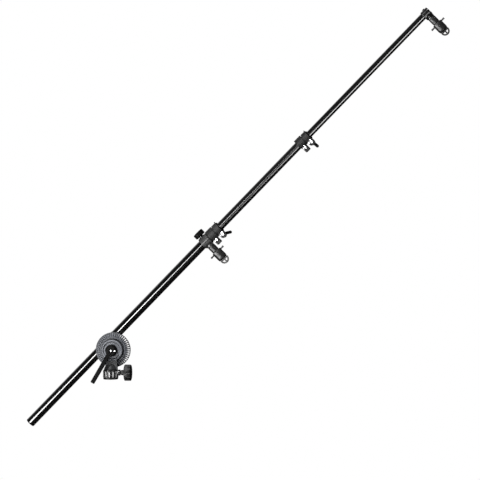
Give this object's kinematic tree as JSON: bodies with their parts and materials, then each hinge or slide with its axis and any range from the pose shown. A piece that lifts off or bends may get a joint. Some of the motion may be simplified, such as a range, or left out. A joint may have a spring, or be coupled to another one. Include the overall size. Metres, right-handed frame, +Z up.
{
  "type": "reflector holder arm",
  "caption": "Telescopic boom on a tilting grip head with a stand socket, carrying a sliding and a fixed spring clip that hold a folding reflector's rim.",
  "frame": {"origin": "centre of the stand socket's mouth, on the stud's axis", "axes": "+Z up the stud's axis, the arm behind it on +Y, rising to +X"},
  "size_m": [1.0033, 0.0836, 0.9797],
  "materials": {
    "cast_grey": "satin",
    "black_plastic": "satin",
    "black_tube": "gloss",
    "collar_grey": "matte",
    "steel": "polished",
    "dark_steel": "satin",
    "rubber": "matte",
    "liner_plastic": "satin",
    "clip_grey": "satin"
  },
  "bodies": {
    "socket": {"socket_head": "cast_grey"},
    "socket_pad": {"socket_clamp_pad": "steel"},
    "socket_knob": {"socket_clamp_screw": "steel", "socket_clamp_knob": "black_plastic"},
    "tilting_half": {"clamp_disc": "cast_grey", "tilt_bolt": "dark_steel", "tilt_release_spring": "steel"},
    "washer": {"tilt_washer": "steel"},
    "lever": {"tilt_lever": "black_plastic", "tilt_lever_screw": "steel"},
    "clamp_liner": {"clamp_liner": "liner_plastic"},
    "thick_tube": {"tube_1": "black_tube", "tube_1_plug": "black_plastic", "lock_1_collar": "collar_grey", "lock_1_liner": "liner_plastic", "lock_1_grip_bolt": "steel", "lock_1_grip_nut": "steel", "lock_1_lever_bolt": "steel", "lock_1_lever_nut": "steel"},
    "lock_1_lever": {"lock_1_lever": "black_plastic"},
    "middle_guide": {"tube_2_guide_bush": "liner_plastic"},
    "middle_tube": {"tube_2": "black_tube", "lock_2_collar": "collar_grey", "lock_2_liner": "liner_plastic", "lock_2_grip_bolt": "steel", "lock_2_grip_nut": "steel", "lock_2_lever_bolt": "steel", "lock_2_lever_nut": "steel"},
    "lock_2_lever": {"lock_2_lever": "black_plastic"},
    "thin_guide": {"tube_3_guide_bush": "liner_plastic"},
    "thin_tube": {"tube_3": "black_tube", "end_block": "collar_grey", "end_block_screw": "dark_steel", "end_clip_pin": "dark_steel"},
    "slider_liner": {"slider_liner": "liner_plastic"},
    "slider": {"slider_sleeve": "collar_grey", "slider_clip_pin": "dark_steel"},
    "slider_pad": {"slider_pad": "rubber"},
    "slider_knob": {"slider_screw": "steel", "slider_knob": "black_plastic"},
    "slider_clip": {"slider_clip_core": "black_plastic", "slider_clip_spring": "steel"},
    "slider_clip_sleeve": {"slider_clip_sleeve": "clip_grey", "slider_clip_crossbar": "dark_steel"},
    "end_clip": {"end_clip_core": "black_plastic", "end_clip_spring": "steel"},
    "end_clip_sleeve": {"end_clip_sleeve": "clip_grey", "end_clip_crossbar": "dark_steel"}
  },
  "joints": [
    {"name": "arm_tilt", "type": "hinge", "parent": "socket", "child": "tilting_half", "pos_m": [0.0045, 0, 0.0686], "axis": [0, -1, 0], "continuous": true},
    {"name": "tilt_washer_travel", "type": "slide", "parent": "tilting_half", "child": "washer", "axis": [0, -1, 0], "range_m": [0, 0.0012]},
    {"name": "tilt_lever_turn", "type": "hinge", "parent": "washer", "child": "lever", "pos_m": [0.0045, 0, 0.0686], "axis": [0, -1, 0], "range_deg": [0, 340]},
    {"name": "tube_turn", "type": "hinge", "parent": "tilting_half", "child": "clamp_liner", "pos_m": [-0.01155, 0.0315, 0.08437], "axis": [0.7009, 0, 0.7133], "continuous": true},
    {"name": "tube_slide", "type": "slide", "parent": "clamp_liner", "child": "thick_tube", "axis": [0.7009, 0, 0.7133], "range_m": [-0.28, 0.23]},
    {"name": "middle_tube_slide", "type": "slide", "parent": "thick_tube", "child": "middle_guide", "axis": [0.7009, 0, 0.7133], "range_m": [-0.264, 0.2]},
    {"name": "middle_tube_turn", "type": "hinge", "parent": "middle_guide", "child": "middle_tube", "pos_m": [-0.01155, 0.0315, 0.08437], "axis": [0.7009, 0, 0.7133], "continuous": true},
    {"name": "thin_tube_slide", "type": "slide", "parent": "middle_tube", "child": "thin_guide", "axis": [0.7009, 0, 0.7133], "range_m": [-0.384, 0.09]},
    {"name": "thin_tube_turn", "type": "hinge", "parent": "thin_guide", "child": "thin_tube", "pos_m": [-0.01155, 0.0315, 0.08437], "axis": [0.7009, 0, 0.7133], "continuous": true},
    {"name": "lock_1_lever_turn", "type": "hinge", "parent": "thick_tube", "child": "lock_1_lever", "pos_m": [0.26159, 0.0315, 0.33892], "axis": [0, -1, 0], "range_deg": [-108, 27]},
    {"name": "lock_2_lever_turn", "type": "hinge", "parent": "middle_tube", "child": "lock_2_lever", "pos_m": [0.47149, 0.0315, 0.55466], "axis": [0, -1, 0], "range_deg": [-54, 81]},
    {"name": "slider_slide", "type": "slide", "parent": "thick_tube", "child": "slider_liner", "axis": [-0.7009, 0, -0.7133], "range_m": [0, 0.26]},
    {"name": "slider_turn", "type": "hinge", "parent": "slider_liner", "child": "slider", "pos_m": [0.22234, 0.0315, 0.32238], "axis": [0.7009, 0, 0.7133], "continuous": true},
    {"name": "slider_pad_travel", "type": "slide", "parent": "slider", "child": "slider_pad", "axis": [-0.7133, 0, 0.7009], "range_m": [0, 0.00152]},
    {"name": "slider_knob_turn", "type": "hinge", "parent": "slider_pad", "child": "slider_knob", "pos_m": [0.22234, 0.0315, 0.32238], "axis": [-0.7133, 0, 0.7009], "range_deg": [0, 540]},
    {"name": "slider_clip_turn", "type": "hinge", "parent": "slider", "child": "slider_clip", "pos_m": [0.22234, 0.0315, 0.32238], "axis": [0.7133, 0, -0.7009], "continuous": true},
    {"name": "slider_clip_pull", "type": "slide", "parent": "slider_clip", "child": "slider_clip_sleeve", "axis": [-0.7133, 0, 0.7009], "range_m": [0, 0.0065], "stiffness_N_per_m": 1500, "springref_m": -0.004, "deforming": ["slider_clip_spring"]},
    {"name": "end_clip_turn", "type": "hinge", "parent": "thin_tube", "child": "end_clip", "pos_m": [0.74368, 0.0315, 0.8529], "axis": [0.7133, 0, -0.7009], "continuous": true},
    {"name": "end_clip_pull", "type": "slide", "parent": "end_clip", "child": "end_clip_sleeve", "axis": [-0.7133, 0, 0.7009], "range_m": [0, 0.0065], "stiffness_N_per_m": 1500, "springref_m": -0.004, "deforming": ["end_clip_spring"]},
    {"name": "socket_pad_travel", "type": "slide", "parent": "socket", "child": "socket_pad", "axis": [1, 0, 0], "range_m": [0, 0.00376]},
    {"name": "socket_knob_turn", "type": "hinge", "parent": "socket_pad", "child": "socket_knob", "pos_m": [0.033, 0, 0.016], "axis": [1, 0, 0], "range_deg": [0, 1080]}
  ],
  "couplings": [
    {"joint": "socket_pad_travel", "follows": "socket_knob_turn", "m_per_rad": 0.00019894},
    {"joint": "slider_pad_travel", "follows": "slider_knob_turn", "m_per_rad": 0.00015915},
    {"joint": "tilt_washer_travel", "follows": "tilt_lever_turn", "m_per_rad": 0.00019894}
  ]
}
